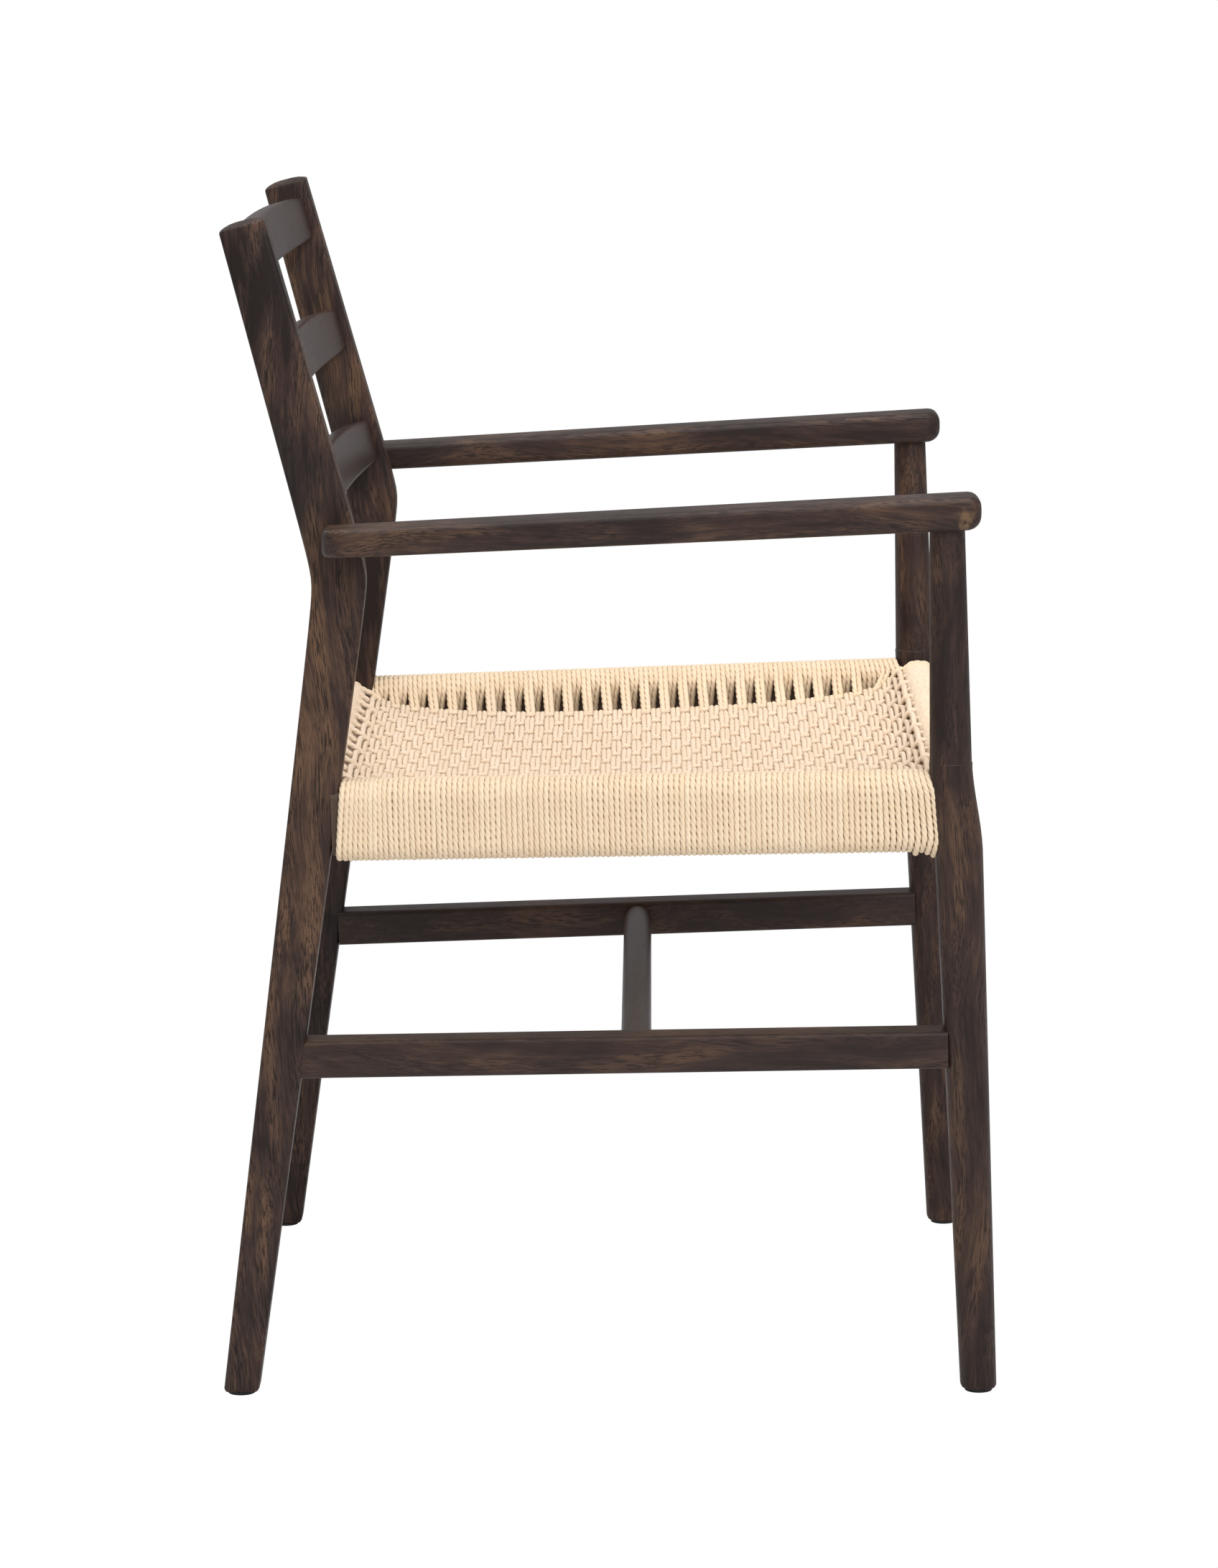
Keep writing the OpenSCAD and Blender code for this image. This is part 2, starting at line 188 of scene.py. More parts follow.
def makeOak(name, along, turn=(0.0, 0.0, 0.0), figure=1.0, sheen=oak["sheen"], chipped=()):
    # along is the axis the grain follows: 0, 1 or 2; figure is how strongly it shows
    mat, tree, shader = newMaterial(name)
    coords = addNode(tree, "ShaderNodeTexCoord").outputs["Object"]
    turned = plug(tree, addNode(tree, "ShaderNodeMapping"), Vector=coords,
                  Rotation=tuple(math.radians(a) for a in turn)).outputs[0]
    # the grain wanders, which opens it into long arches on flat faces
    sway = addNode(tree, "ShaderNodeTexNoise")
    plug(tree, sway, Vector=turned, Scale=7.0, Detail=1.0)
    pull = addNode(tree, "ShaderNodeVectorMath", operation="MULTIPLY_ADD")
    plug(tree, pull, n0=sway.outputs["Color"], n1=(0.030, 0.030, 0.030), n2=turned)
    bent = pull.outputs[0]

    def stretched(share, offset=0.0):
        scale = [1.0, 1.0, 1.0]
        scale[along] = share
        node = addNode(tree, "ShaderNodeMapping")
        return plug(tree, node, Vector=bent, Location=(offset, offset * 1.7, offset * 0.6),
                    Scale=tuple(scale)).outputs[0]

    mottle = noise(tree, stretched(0.22, offset=1.3), scale=42.0, detail=4.0, rough=0.62,
                   distortion=0.5)
    streaks = noise(tree, stretched(0.05), scale=330.0, detail=3.0, rough=0.6, distortion=0.1)
    fine = noise(tree, stretched(0.06, offset=0.7), scale=1150.0, rough=0.55)
    patches = noise(tree, turned, scale=9.0, distortion=0.4)
    wave = addNode(tree, "ShaderNodeTexWave", wave_type="BANDS", bands_direction="DIAGONAL",
                   wave_profile="SIN")
    plug(tree, wave, Vector=stretched(0.10, 0.4), Scale=30.0, Distortion=3.0, Detail=2.0)
    rings = wave.outputs["Fac"]

    tone = weighted(tree, streaks, 0.36, mottle, 0.64)
    tone = maths(tree, "ADD", tone, swing(tree, rings, 0.07))
    tone = maths(tree, "ADD", tone, swing(tree, patches, 0.48))
    base = ramp(tree, tone, [(0.38, oak["umber"]), (0.51, oak["brown"]), (0.66, oak["ochre"])])
    pores = span(tree, fine, 0.49, 0.58)
    pores = maths(tree, "MULTIPLY", pores, span(tree, rings, 0.1, 0.8, 0.45, 1.0))
    base = blendColour(tree, maths(tree, "MULTIPLY", pores, 0.80), base, oak["pore"])
    base = blendColour(tree, figure, oak["even"], base)
    for place, radius in oak["smoky"]:
        near = span(tree, distance(tree, coords, place), radius * 0.3, radius, 0.75, 0.0)
        base = blendColour(tree, near, base, oak["smoke"])

    for place, radius in chipped:
        rough = swing(tree, noise(tree, coords, scale=260.0, detail=3.0), radius * 2.2)
        ragged = maths(tree, "ADD", distance(tree, coords, place), rough)
        bared = span(tree, ragged, radius * 0.2, radius, 0.7, 0.0)
        base = blendColour(tree, bared, base, oak["worn"])

    link(tree, base, shader.inputs["Base Color"])
    dullPores = maths(tree, "MULTIPLY", pores, 0.20 * figure)
    gloss = maths(tree, "ADD", oak["roughness"] - (sheen - oak["sheen"]) * 0.6, dullPores)
    gloss = maths(tree, "ADD", gloss, swing(tree, patches, 0.16))
    link(tree, gloss, shader.inputs["Roughness"])
    shader.inputs["Specular IOR Level"].default_value = sheen
    height = maths(tree, "SUBTRACT", maths(tree, "MULTIPLY", streaks, 0.4), pores)
    bump = addNode(tree, "ShaderNodeBump")
    plug(tree, bump, Strength=0.30 * figure, Distance=0.0003, Height=height)
    link(tree, bump.outputs[0], shader.inputs["Normal"])
    return mat


# ---- plain finishes ----

def makePlain(name, dark, light, roughness, metallic=0.0, scale=400.0):
    mat, tree, shader = newMaterial(name)
    coords = addNode(tree, "ShaderNodeTexCoord").outputs["Object"]
    grain = noise(tree, coords, scale, 3.0)
    link(tree, ramp(tree, grain, [(0.35, dark), (0.65, light)]), shader.inputs["Base Color"])
    gloss = span(tree, grain, 0.3, 0.7, roughness - 0.08, roughness + 0.08)
    link(tree, gloss, shader.inputs["Roughness"])
    shader.inputs["Metallic"].default_value = metallic
    bump = addNode(tree, "ShaderNodeBump")
    plug(tree, bump, Strength=0.15, Distance=0.0002, Height=grain)
    link(tree, bump.outputs[0], shader.inputs["Normal"])
    return mat


# ---- paper cord ----

cord = {
    "thickness": 0.0037,
    "swell": 1.23,         # the cords press against each other, so they are drawn this much thicker
    "lay": -0.0156,        # length of one full twist of the three plies
    "step": 0.0021,        # distance between sections along the cord
    "groove": 0.21,        # how deep the plies' grooves go, as a share of the radius
    "straw": (0.79, 0.62, 0.43),
    "pale": (0.82, 0.67, 0.49),
    "shadow": (0.42, 0.24, 0.11),
    # colour of the painted shade on cords that lie deep between others
    "hollowShade": (0.26, 0.17, 0.085),
    "middle": (0.95, 0.945, 1.0),
}


def makeCordMaterial(name, straw, pale):
    mat, tree, shader = newMaterial(name)
    coords = addNode(tree, "ShaderNodeTexCoord").outputs["Object"]
    groove = addNode(tree, "ShaderNodeAttribute", attribute_name="groove").outputs["Fac"]
    shade = addNode(tree, "ShaderNodeAttribute", attribute_name="shade").outputs["Fac"]
    fibre = noise(tree, coords, scale=900.0, detail=3.0, rough=0.6)
    cloudy = noise(tree, coords, scale=45.0)
    tone = weighted(tree, shade, 0.3, cloudy, 0.7)
    base = blendColour(tree, span(tree, tone, 0.3, 0.7), straw, pale)
    dim = tuple(c * 0.72 for c in straw)
    base = blendColour(tree, span(tree, fibre, 0.35, 0.75, 0.0, 0.22), base, dim)
    broken = span(tree, noise(tree, coords, scale=260.0, detail=1.0), 0.42, 0.62, 0.04, 0.36)
    # the middle of the seat is a little greyer and pinker than the rails
    split = plug(tree, addNode(tree, "ShaderNodeSeparateXYZ"), Vector=coords)
    outward = maths(tree, "ABSOLUTE", split.outputs["X"])
    inner = span(tree, outward, 0.190, 0.214, 1.0, 0.0)
    base = blendColour(tree, inner, base, cord["middle"], "MULTIPLY")
    deep = maths(tree, "MULTIPLY", span(tree, groove, 0.45, 1.0), broken)
    base = blendColour(tree, deep, base, cord["shadow"])
    # painted shade: cords that lie deep between others, where little light reaches them, are painted
    # browner
    hollowShade = addNode(tree, "ShaderNodeAmbientOcclusion", samples=6)
    hollowShade = plug(tree, hollowShade, Distance=0.06).outputs["AO"]
    base = blendColour(tree, span(tree, hollowShade, 0.06, 0.56, 0.80, 0.0), base, cord["hollowShade"])
    link(tree, base, shader.inputs["Base Color"])
    shader.inputs["Roughness"].default_value = 0.72
    shader.inputs["Specular IOR Level"].default_value = 0.25
    bump = addNode(tree, "ShaderNodeBump")
    plug(tree, bump, Strength=0.25, Distance=0.0003, Height=fibre)
    link(tree, bump.outputs[0], shader.inputs["Normal"])
    return mat


def cordTree(material):
    # sweeps a three-ply twisted section along every line of the mesh it is given
    tree = bpy.data.node_groups.new("twistedCord", "GeometryNodeTree")
    face = tree.interface
    face.new_socket("Geometry", in_out="INPUT", socket_type="NodeSocketGeometry")
    sizes = [("Thickness", cord["thickness"] * cord["swell"]), ("Lay", cord["lay"]),
             ("Step", cord["step"]), ("Groove", cord["groove"])]
    for label, value in sizes:
        face.new_socket(label, in_out="INPUT", socket_type="NodeSocketFloat").default_value = value
    face.new_socket("Seed", in_out="INPUT", socket_type="NodeSocketInt").default_value = 7
    face.new_socket("Geometry", in_out="OUTPUT", socket_type="NodeSocketGeometry")
    start = addNode(tree, "NodeGroupInput").outputs

    curves = plug(tree, addNode(tree, "GeometryNodeMeshToCurve"), Mesh=start["Geometry"]).outputs[0]
    resample = addNode(tree, "GeometryNodeResampleCurve", mode="LENGTH")
    even = plug(tree, resample, Curve=curves, Length=start["Step"]).outputs[0]
    along = addNode(tree, "GeometryNodeSplineParameter").outputs["Length"]
    turns = maths(tree, "DIVIDE", along, start["Lay"])
    randomShift = addNode(tree, "FunctionNodeRandomValue", data_type="FLOAT")
    curveIndex = addNode(tree, "GeometryNodeCurveOfPoint").outputs["Curve Index"]
    plug(tree, randomShift, ID=curveIndex, Seed=start["Seed"])
    shift = randomShift.outputs[1]
    angle = maths(tree, "MULTIPLY", maths(tree, "ADD", turns, shift), 2 * math.pi)
    tilted = addNode(tree, "GeometryNodeSetCurveTilt")
    tilted = plug(tree, tilted, Curve=even, Tilt=angle).outputs[0]
    shaded = addNode(tree, "GeometryNodeStoreNamedAttribute", data_type="FLOAT", domain="POINT")
    plug(tree, shaded, Geometry=tilted, Name="shade", Value=shift)

    circle = addNode(tree, "GeometryNodeCurvePrimitiveCircle", mode="RADIUS")
    plug(tree, circle, Resolution=9, Radius=maths(tree, "MULTIPLY", start["Thickness"], 0.5))
    third = maths(tree, "MODULO", addNode(tree, "GeometryNodeInputIndex").outputs[0], 3.0)
    inGroove = maths(tree, "LESS_THAN", third, 0.5)
    shrink = maths(tree, "SUBTRACT", 1.0, maths(tree, "MULTIPLY", inGroove, start["Groove"]))
    scaled = addNode(tree, "ShaderNodeVectorMath", operation="SCALE")
    plug(tree, scaled, n0=addNode(tree, "GeometryNodeInputPosition").outputs[0], Scale=shrink)
    lobed = plug(tree, addNode(tree, "GeometryNodeSetPosition"), Geometry=circle.outputs[0],
                 Position=scaled.outputs[0]).outputs[0]
    marked = addNode(tree, "GeometryNodeStoreNamedAttribute", data_type="FLOAT", domain="POINT")
    plug(tree, marked, Geometry=lobed, Name="groove", Value=inGroove)

    swept = addNode(tree, "GeometryNodeCurveToMesh")
    plug(tree, swept, Curve=shaded.outputs[0], n1=marked.outputs[0], Fill_Caps=True)
    smooth = addNode(tree, "GeometryNodeSetShadeSmooth")
    smooth = plug(tree, smooth, Geometry=swept.outputs[0]).outputs[0]
    real = plug(tree, addNode(tree, "GeometryNodeRealizeInstances"), Geometry=smooth).outputs[0]
    final = plug(tree, addNode(tree, "GeometryNodeSetMaterial"), Geometry=real, Material=material)
    link(tree, final.outputs[0], addNode(tree, "NodeGroupOutput").inputs[0])
    return tree


def sweepCords(name, lines, tree, seed):
    # lines are lists of points; the tree turns each one into a twisted cord
    points = [p for line in lines for p in line]
    edges = []
    first = 0
    for line in lines:
        edges += [(first + i, first + i + 1) for i in range(len(line) - 1)]
        first += len(line)
    mesh = bpy.data.meshes.new(name + "Path")
    mesh.from_pydata(points, edges, [])
    ob = bpy.data.objects.new(name, mesh)
    bpy.context.scene.collection.objects.link(ob)
    modifier = ob.modifiers.new("cords", "NODES")
    modifier.node_group = tree
    ids = {item.name: item.identifier for item in tree.interface.items_tree
           if item.in_out == "INPUT"}
    modifier[ids["Seed"]] = seed
    graph = bpy.context.evaluated_depsgraph_get()
    baked = bpy.data.meshes.new_from_object(ob.evaluated_get(graph))
    baked.name = name
    ob.modifiers.clear()
    ob.data = baked
    bpy.data.meshes.remove(mesh)
    return ob


# ---- seat: rails, rows and cord paths ----

seat = {
    "railThick": 0.022,
    "railHigh": 0.047,
    "railCorner": 0.008,
    "sideRear": (0.2237, 0.1858, 0.4038),    # ends of the side rails' axes, on +X
    "sideFront": (0.2459, -0.2201, 0.4128),
    "pairs": 28,           # pairs of cords that leave over each side rail
    "rows": 15,            # double rows from front to back
    "rowFront": 0.225,     # where the outermost rows lie at the front and rear rails, and halfway
    "rowRear": 0.208,
    "rowMiddle": 0.197,
    "edgeDrop": 0.0165,    # how far the weave lies below the rails' tops, at its edge and deeper in
    "sideDrop": 0.0095,
    "middleDrop": 0.0085,
    "drift": 0.0024,       # how far the weave sits forward of the turns on the side rails
    "wave": 0.0018,        # how far the cords rise and fall over each other
    "rowWave": 0.0012,
    "rowSink": 0.0006,     # how far the double rows lie under the weave's middle
    "rowGap": 0.0014,      # half the distance between the two cords of a row
    "topSwell": 0.0018,    # how far the turns swell over a rail's top
    "topRear": 0.431,      # height of the side rails' tops at the rear, and their rise forwards
    "topRise": 0.009,
    "turnsLong": 0.4073,   # length of a side rail that the turns are spread over
    "turnHalf": 0.0254,    # half the height of a turn
    "crowdLow": 0.0010,    # how far turns beside the near post crowd forwards, at their foot
    "crowdSlope": 0.094,   # and how much more for each unit of height
    "crowdReach": 0.034,
    "firstBack": 0.0009,   # how far the very first turn sits back against the post
    "firstReach": 0.004,
    "swellOut": 0.0098,    # how far the last turns before a leg swell out
    "swellBack": 0.0012,
    "swellReach": 0.070,
    "slide": 0.0030,       # how far a turn slides back on the rail's inner face
    "loops": {1: 0.0042, 2: 0.0022, 3: 0.0006, 4: 0.0026},    # how far the last cords beside the
    "loopFrom": 0.015,     # right leg hang loose, counted from the leg, and where that begins
    "loopHigh": 0.0104,
    "frontHalf": 0.2340,   # half the lengths of the front and rear rails
    "rearHalf": 0.2080,
    "bend": 50,            # how far a cord bends over a rail's inner top corner, in degrees
    "rowBend": 48,
    "jitter": 0.00012,     # how unevenly the cords lie, in the weave and on the side rails
    "wobble": 0.00025,
    "batches": 8,          # pieces that the side-to-side cords are shared between
}


def corner(centre, radius, fromAngle, toAngle, steps):
    # points of an arc in a section, as (across, up)
    across, up = centre
    points = []
    for i in range(steps + 1):
        angle = math.radians(fromAngle + (toAngle - fromAngle) * i / steps)
        points.append((across + radius * math.cos(angle), up + radius * math.sin(angle)))
    return points


def sectionCorner():
    # where the arcs of a turn have their middles, across and up, and their radius
    r = seat["railCorner"] + cord["thickness"] / 2
    halfW = (seat["railThick"] + cord["thickness"]) / 2
    halfH = (seat["railHigh"] + cord["thickness"]) / 2
    return halfW - r, halfH - r, r


def sectionPath(start=0, stop=4):
    # round the rail from its inner top corner, over the top and on round: across points outwards
    a, b, r = sectionCorner()
    arcs = [corner((-a, b), r, 180, 90, 6), corner((a, b), r, 90, 0, 6),
            corner((a, -b), r, 0, -90, 6), corner((-a, -b), r, -90, -180, 6)]
    return [p for arc in arcs[start:stop] for p in arc]


def wholeTurn():
    # once round the rail, from under it up its inner face and back
    path = sectionPath()
    inner = [(path[0][0], path[0][1] * (1 - t) + path[-1][1] * t) for t in (0.8, 0.6, 0.4, 0.2)]
    return list(reversed(path[-6:])) + inner + path[:-6]


class Rail:
    # a seat rail's axis, with its outward and upward directions
    def __init__(self, start, end, out):
        self.start = Vector(start)
        self.length = (Vector(end) - self.start).length
        self.ahead = (Vector(end) - self.start).normalized()
        self.out = (Vector(out) - self.ahead * self.ahead.dot(Vector(out))).normalized()
        self.up = self.out.cross(self.ahead)
        if self.up.z < 0:
            self.up.negate()

    def at(self, s, across, up):
        # the turns swell a little over the rail's top
        top = min(1.0, max(0.0, (up - 0.017) / 0.009))
        up += seat["topSwell"] * top * max(0.0, 1 - (across / 0.016) ** 2)
        return self.start + self.ahead * s + self.out * across + self.up * up


def sideRail(side):
    flip = Vector((side, 1, 1))
    start = Vector(seat["sideRear"]) * flip
    end = Vector(seat["sideFront"]) * flip
    return Rail(start, end, (side, 0, 0))


def crossRail(y, z, half, out):
    return Rail((-half, y, z), (half, y, z), (0, out, 0))


rearY, rearZ = 0.2022, 0.4038
frontY, frontZ = -0.2352, 0.4128
halfWrap = seat["railThick"] / 2 + cord["thickness"]
innerRear = rearY - halfWrap
innerFront = frontY + halfWrap


def depthShare(y):
    # 0 at the rear rail's inner face, 1 at the front rail's
    return (innerRear - y) / (innerRear - innerFront)


def railShare(y):
    # 0 at a side rail's rear end, 1 at its front end
    return (seat["sideRear"][1] - y) / (seat["sideRear"][1] - seat["sideFront"][1])


def railTop(y):
    return seat["topRear"] + seat["topRise"] * railShare(y) - cord["thickness"] / 2


def rowX(k, y):
    # where row k crosses y: rows bow in towards the middle of the seat
    t = min(1.0, max(0.0, depthShare(y)))
    straight = seat["rowRear"] + (seat["rowFront"] - seat["rowRear"]) * t
    bow = 1 - abs(2 * t - 1) ** 2.6
    edge = straight + (seat["rowMiddle"] - (seat["rowRear"] + seat["rowFront"]) / 2) * bow
    return edge * (1 - 2 * (k - 1) / (seat["rows"] - 1))


def seatZ(x, y):
    # the middle surface of the weave
    t = min(1.0, max(0.0, depthShare(y)))
    inFrom = min(t, 1 - t) * (innerRear - innerFront)
    drop = seat["edgeDrop"] * (1 - math.exp(-max(0.0, inFrom) / 0.009))
    middle = 1 - abs(2 * t - 1) ** 3
    share = min(1.0, abs(x) / 0.2)
    drop += (seat["sideDrop"] + seat["middleDrop"] * (1 - share * share)) * middle
    return railTop(y) - drop


def easeTo(a, b, t):
    t = min(1.0, max(0.0, t))
    return a + (b - a) * t * t * (3 - 2 * t)


def crossingSign(x, y, phase):
    # +1 where a side-to-side cord lies over a row, -1 where it lies under the next one
    edge = rowX(1, y)
    place = (edge - x) / (2 * edge) * (seat["rows"] - 1)
    return math.cos(math.pi * place) * phase


def columnY(index, shift=None):
    # the side-to-side cords are packed: index runs from the rear
    count = 4 * seat["pairs"] - 2
    low, high = innerRear - 0.0017, innerFront + 0.0017
    return low + (high - low) * (index + 0.5) / count - (seat["drift"] if shift is None else shift)


def railSlots():
    # what each turn on a side rail is: "over" leaves into the seat, "turn" goes all the way round.
    # The last two pairs lie side by side, which leaves a small open corner beside the leg.
    return ["over", "over", "turn", "turn"] * (seat["pairs"] - 2) + ["turn", "turn"] + ["over"] * 4


def slotPlace(index):
    # how far along a side rail a turn lies
    return railShare(columnY(index, 0.0)) * seat["turnsLong"]


def lean(rail, s, up):
    # turns beside the near post crowd forwards off it, and the last ones before a leg swell out
    half = seat["turnHalf"]
    crowd = 0.0
    if rail.out.x < 0:
        beside = max(0.0, 1 - s / seat["crowdReach"])
        crowd = (seat["crowdLow"] + seat["crowdSlope"] * (up + half)) * beside
        crowd -= seat["firstBack"] * max(0.0, 1 - s / seat["firstReach"])
    rise = (up + half) / (2 * half)
    near = max(0.0, 1 - (rail.length - s) / seat["swellReach"]) ** 2
    roundness = math.sin(math.pi * min(1.0, max(0.0, 1.04 - rise) / 1.25))
    return crowd + near * (seat["swellOut"] * roundness - seat["swellBack"])


def buildSeatPaths():
    rng = random.Random(5)
    slots = railSlots()
    turnsBySide = {1: [], -1: []}
    across = []            # cords of the weave, one list of points each
    rails = {side: sideRail(side) for side in (1, -1)}
    ring = wholeTurn()
    for side, rail in rails.items():
        for i, slot in enumerate(slots):
            s = slotPlace(i)
            if slot == "over":
                continue
            wobble = rng.uniform(-seat["wobble"], seat["wobble"])
            line = []
            for u, v in ring:
                inside = min(1.0, max(0.0, (0.0165 - v) / 0.022)) if u < -0.011 else 0.0
                above = min(1.0, max(0.0, (v + 0.026) / 0.01))
                shift = -seat["slide"] * math.sin(inside * math.pi * 0.5) * above
                shift = s + shift + lean(rail, s, v) + wobble * math.sin(7 * v / 0.025)
                line.append(rail.at(shift, u, v))
            turnsBySide[side].append(line)
    # pairs that leave over the rail, cross the seat, and come back from beneath as the next pair
    overSlots = [i for i, slot in enumerate(slots) if slot == "over"]
    halfRing = sectionPath(1, 4)
    for n, slotIndex in enumerate(overSlots):
        pair, member = divmod(n, 2)
        column = 4 * pair + member
        y = columnY(column)
        s = slotPlace(slotIndex)
        middle = weavePath(y, -1.0, rng)
        ends = {}
        for side, rail in rails.items():
            outer = []
            for u, v in halfRing:
                droop = 0.0
                if v < -seat["loopFrom"] and side < 0:
                    loose = seat["loops"].get(len(slots) - slotIndex, 0.0)
                    droop = loose * (-seat["loopFrom"] - v) / seat["loopHigh"]
                outer.append(rail.at(s + lean(rail, s, v), u, v - droop))
            ends[side] = leaveOver(rail, s, middle, side) + outer
        left = list(reversed(ends[-1]))
        across.append(left + middle + ends[1])
        if pair < seat["pairs"] - 1:
            yBack = columnY(column + 2)
            middle = weavePath(yBack, 1.0, rng)
            tails = {side: riseFromBelow(rails[side], s, middle, side) for side in (1, -1)}
            across.append(list(reversed(tails[-1])) + middle + tails[1])
    return turnsBySide, across


def weavePath(y, phase, rng):
    # from the outermost row on -X to the one on +X, rising and falling over the rows
    edge = rowX(1, y)
    count = (seat["rows"] - 1) * 4
    jitter = rng.uniform(-seat["jitter"], seat["jitter"])
    points = []
    for i in range(count + 1):
        x = -edge + 2 * edge * i / count
        sign = crossingSign(x, y, phase)
        flat = math.copysign(abs(sign) ** 0.7, sign)
        drift = 0.0005 * math.sin(17 * x / edge + y * 90) * 0.4
        points.append(Vector((x, y + jitter + drift, seatZ(x, y) + seat["wave"] * flat)))
    return points


def leaveOver(rail, s, middle, side):
    # points from the outermost row up to the rail's inner top corner, and round it
    first = middle[-1] if side > 0 else middle[0]
    points = []
    a, b, radius = sectionCorner()
    arc = corner((-a, b), radius, 90 + seat["bend"], 90, 5)
    leaving = rail.at(s + lean(rail, s, 0.02), *arc[0])
    for t in (0.12, 0.3, 0.5, 0.7, 0.9):
        p = first.lerp(leaving, t)
        p.z -= 0.0016 * math.sin(math.pi * t)
        p.y = easeTo(first.y, leaving.y, t)
        points.append(p)
    points += [rail.at(s + lean(rail, s, v), u, v) for u, v in arc]
    return points


def riseFromBelow(rail, s, middle, side):
    # points from the outermost row down to the rail's inner bottom corner
    first = middle[-1] if side > 0 else middle[0]
    a, b, radius = sectionCorner()
    arc = corner((-a, -b), radius, 205, 262, 4)
    leaving = rail.at(s + lean(rail, s, -0.02), *arc[0])
    points = []
    inner = first + Vector((side * 0.0045, 0, -0.0022))
    points.append(inner)
    for t in (0.25, 0.5, 0.75):
        p = inner.lerp(leaving, t)
        p.y = easeTo(inner.y, leaving.y, t)
        points.append(p)
    points += [rail.at(s + lean(rail, s, v), u, v) for u, v in arc]
    return points


def buildRowPaths():
    # the double rows from the front rail to the rear one, and the turns between them
    front = crossRail(frontY, frontZ, seat["frontHalf"], -1)
    rear = crossRail(rearY, rearZ, seat["rearHalf"], 1)
    ring = wholeTurn()
    halfRing = sectionPath(1, 4)
    a, b, radius = sectionCorner()
    rows = []
    turns = {"front": [], "rear": []}
    taken = {"front": [], "rear": []}
    for name, rail, edge in (("front", front, seat["rowFront"]), ("rear", rear, seat["rowRear"])):
        count = round(2 * rail.start.x * -1 / cord["thickness"])
        pitch = -2 * rail.start.x / count
        places = [rail.start.x + pitch * (i + 0.5) for i in range(count)]
        wanted = [edge * (1 - 2 * (k - 1) / (seat["rows"] - 1)) for k in range(1, seat["rows"] + 1)]
        for x in wanted:
            i = min(range(count - 1), key=lambda j: abs((places[j] + places[j + 1]) / 2 - x))
            taken[name].append((i, i + 1))
        used = {j for pair in taken[name] for j in pair}
        for i, x in enumerate(places):
            if i in used:
                continue
            turns[name].append([rail.at(x - rail.start.x, u, v) for u, v in ring])
        taken[name] = [(places[i], places[j]) for i, j in taken[name]]
    columns = 4 * seat["pairs"] - 2
    yFirst, yLast = columnY(0), columnY(columns - 1)
    perColumn = (yLast - yFirst) / (columns - 1)
    arc = corner((-a, b), radius, 90 + seat["rowBend"], 90, 4)
    for k in range(1, seat["rows"] + 1):
        for member in (0, 1):
            side = -1 if member else 1
            middle = []
            steps = columns * 2
            for i in range(steps + 1):
                y = yFirst + (yLast - yFirst) * i / steps
                column = (y - yFirst) / perColumn
                x = rowX(k, y) + side * seat["rowGap"]
                phase = 1 if k % 2 else -1
                sway = math.cos(2 * math.pi * (column - 0.5) / 4)
                z = seatZ(rowX(k, y), y) - seat["rowSink"] + seat["rowWave"] * phase * sway
                middle.append(Vector((x, y, z)))
            xFront = taken["front"][k - 1][1 - member]
            xRear = taken["rear"][k - 1][1 - member]
            frontEnd = [front.at(xFront - front.start.x, u, v) for u, v in arc + halfRing]
            rearEnd = [rear.at(xRear - rear.start.x, u, v) for u, v in arc + halfRing]
            rows.append(list(reversed(rearEnd)) + middle + frontEnd)
    return turns, rows


def buildCords(material):
    tree = cordTree(material)
    turnsBySide, across = buildSeatPaths()
    turns, rows = buildRowPaths()

    def piece(name, lines, seed, *replaced):
        ob = sweepCords(name, lines, tree, seed)
        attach(ob, "root")
        if replaced:
            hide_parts(*replaced)
        print("cords:", name, len(lines), "lengths,", len(ob.data.polygons), "faces")

    piece("sideTurnsRight", turnsBySide[-1], 11, "side_rail_cord_wrap_right")
    piece("sideTurnsLeft", turnsBySide[1], 12, "side_rail_cord_wrap_left")
    piece("frontTurns", turns["front"], 13, "front_rail_cord_wrap")
    piece("rearTurns", turns["rear"], 14, "rear_rail_cord_wrap")
    share = math.ceil(len(across) / seat["batches"])
    for i in range(seat["batches"]):
        part = across[i * share:(i + 1) * share]
        piece("seatCords%d" % (i + 1), part, 20 + i, *(["woven_seat"] if i == 0 else []))
    piece("seatRows", rows, 40)


# ---- wooden pieces: smooth shading over the CAD nodes ----

def smoothTree():
    tree = bpy.data.node_groups.new("smoothFaces", "GeometryNodeTree")
    face = tree.interface
    face.new_socket("Geometry", in_out="INPUT", socket_type="NodeSocketGeometry")
    crease = face.new_socket("Angle", in_out="INPUT", socket_type="NodeSocketFloat")
    crease.default_value = math.radians(32)    # an edge sharper than this stays crisp
    face.new_socket("Geometry", in_out="OUTPUT", socket_type="NodeSocketGeometry")
    start = addNode(tree, "NodeGroupInput").outputs
    merged = plug(tree, addNode(tree, "GeometryNodeMergeByDistance"), Geometry=start["Geometry"],
                  Distance=0.00001).outputs[0]
    flat = addNode(tree, "GeometryNodeSetShadeSmooth", domain="FACE")
    flat = plug(tree, flat, Geometry=merged).outputs[0]
    angle = addNode(tree, "GeometryNodeInputMeshEdgeAngle").outputs[0]
    soft = maths(tree, "LESS_THAN", angle, start["Angle"])
    node = addNode(tree, "GeometryNodeSetShadeSmooth", domain="EDGE")
    plug(tree, node, Geometry=flat)
    link(tree, soft, node.inputs["Shade Smooth"])
    link(tree, node.outputs[0], addNode(tree, "NodeGroupOutput").inputs[0])
    return tree


def dress(name, material, tree):
    ob = nodes[name]
    ob.data.materials.clear()
    ob.data.materials.append(material)
    if tree:
        modifier = ob.modifiers.new("smooth", "NODES")
        modifier.node_group = tree


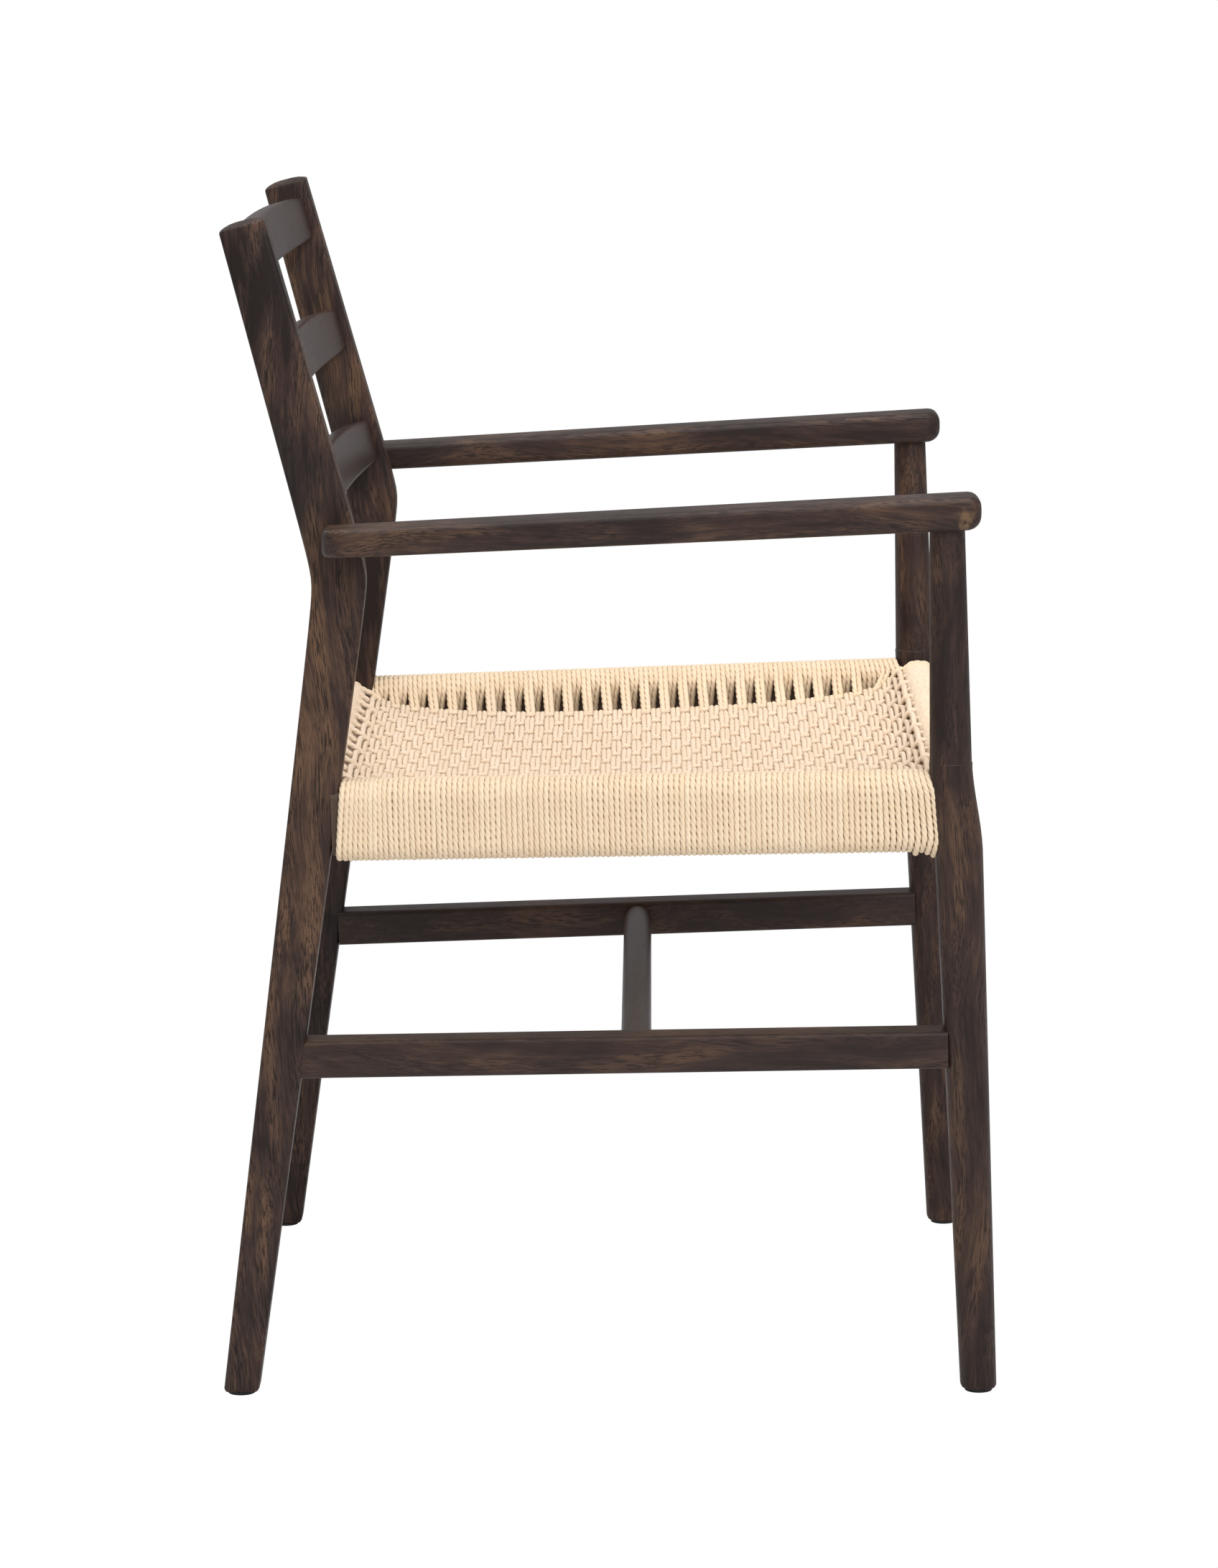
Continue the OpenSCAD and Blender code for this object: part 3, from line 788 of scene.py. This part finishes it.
def dressWood():
    tree = smoothTree()
    posts = makeOak("oakPosts", along=2, turn=(4.0, 0.0, 0.0), figure=0.95, sheen=0.21)
    legs = makeOak("oakLegs", along=2, turn=(1.0, 2.0, 0.0), figure=0.66, sheen=0.19)
    arms = makeOak("oakArms", along=1, turn=(0.0, 0.0, 2.0), figure=0.66, sheen=0.22,
                   chipped=oak["chipped"])
    stretchers = makeOak("oakStretchers", along=1, turn=(0.0, 0.0, 3.0), figure=0.5, sheen=0.22)
    slats = makeOak("oakSlats", along=0, figure=0.16, sheen=0.30)
    bare = makePlain("oakUnderCord", (0.050, 0.027, 0.014), (0.075, 0.040, 0.021), roughness=0.6)
    for side in ("right", "left"):
        dress("back_post_" + side, posts, tree)
        dress("front_leg_" + side, legs, tree)
        dress("armrest_" + side, arms, tree)
        dress("side_seat_rail_" + side, bare, tree)
        dress("side_stretcher_" + side, stretchers, tree)
    for name in ("top_slat", "middle_slat", "bottom_slat",
                 "cross_stretcher", "front_seat_rail", "rear_seat_rail"):
        dress(name, slats, tree)
    beech = makePlain("bareBeech", (0.42, 0.27, 0.14), (0.60, 0.42, 0.24), roughness=0.6)
    black = makePlain("blackGlide", (0.008, 0.008, 0.008), (0.016, 0.015, 0.015), roughness=0.6)
    steel = makePlain("nailSteel", (0.42, 0.42, 0.43), (0.62, 0.62, 0.63), roughness=0.35,
                      metallic=1.0)
    for name in ("arm_dowels", "seat_rail_dowels"):
        dress(name, beech, None)
    for name in ("glide_back_right", "glide_back_left", "glide_front_right", "glide_front_left"):
        dress(name, black, tree)
    dress("glide_nails", steel, None)
    print("wood: dressed")


# ---- studio ----

studio = {
    "floor": 6.0,          # half its width
    "world": 0.42,         # how bright the air is for the chair: it looks pure white behind it
    # name, place, what it aims at, width and watts
    "lights": [("keyLight", (-2.4, -1.2, 2.6), (0.0, 0.0, 0.45), 2.0, 76.0),
               ("topLight", (-0.3, 0.2, 3.0), (0.0, 0.0, 0.4), 2.4, 56.0),
               ("backLight", (1.8, 2.2, 2.2), (0.0, 0.0, 0.5), 1.6, 25.0)],
}


def makeStudio():
    mesh = bpy.data.meshes.new("floor")
    h, low = studio["floor"], -0.0002
    mesh.from_pydata([(-h, -h, low), (h, -h, low), (h, h, low), (-h, h, low)], [], [(0, 1, 2, 3)])
    floor = bpy.data.objects.new("floor", mesh)
    bpy.context.scene.collection.objects.link(floor)
    mat, tree, shader = newMaterial("paleFloor")
    shader.inputs["Base Color"].default_value = (0.8, 0.8, 0.8, 1.0)
    shader.inputs["Roughness"].default_value = 1.0
    shader.inputs["Specular IOR Level"].default_value = 0.0
    seen = addNode(tree, "ShaderNodeLightPath").outputs["Is Camera Ray"]
    glow = addNode(tree, "ShaderNodeEmission")
    mix = addNode(tree, "ShaderNodeMixShader")
    plug(tree, mix, n0=seen, n1=shader.outputs[0], n2=glow.outputs[0])
    # the floor is clear from beneath, so the underside can be looked at
    below = addNode(tree, "ShaderNodeNewGeometry").outputs["Backfacing"]
    clear = addNode(tree, "ShaderNodeBsdfTransparent")
    whole = addNode(tree, "ShaderNodeMixShader")
    plug(tree, whole, n0=below, n1=mix.outputs[0], n2=clear.outputs[0])
    link(tree, whole.outputs[0], tree.nodes["Material Output"].inputs[0])
    mesh.materials.append(mat)

    world = bpy.data.worlds.new("studioAir")
    bpy.context.scene.world = world
    world.use_nodes = True
    tree = world.node_tree
    back = tree.nodes["Background"]
    seen = addNode(tree, "ShaderNodeLightPath").outputs["Is Camera Ray"]
    link(tree, span(tree, seen, 0.0, 1.0, studio["world"], 1.0), back.inputs[1])
    back.inputs[0].default_value = (1.0, 1.0, 1.0, 1.0)

    for name, place, aim, size, power in studio["lights"]:
        data = bpy.data.lights.new(name, "AREA")
        data.size = size
        data.energy = power
        ob = bpy.data.objects.new(name, data)
        ob.location = place
        ob.rotation_euler = (Vector(aim) - Vector(place)).to_track_quat("-Z", "Y").to_euler()
        bpy.context.scene.collection.objects.link(ob)
    bpy.context.scene.view_settings.view_transform = "Standard"
    print("studio: ready")


makeCamera()
dressWood()
buildCords(makeCordMaterial("paperCord", cord["straw"], cord["pale"]))
makeStudio()
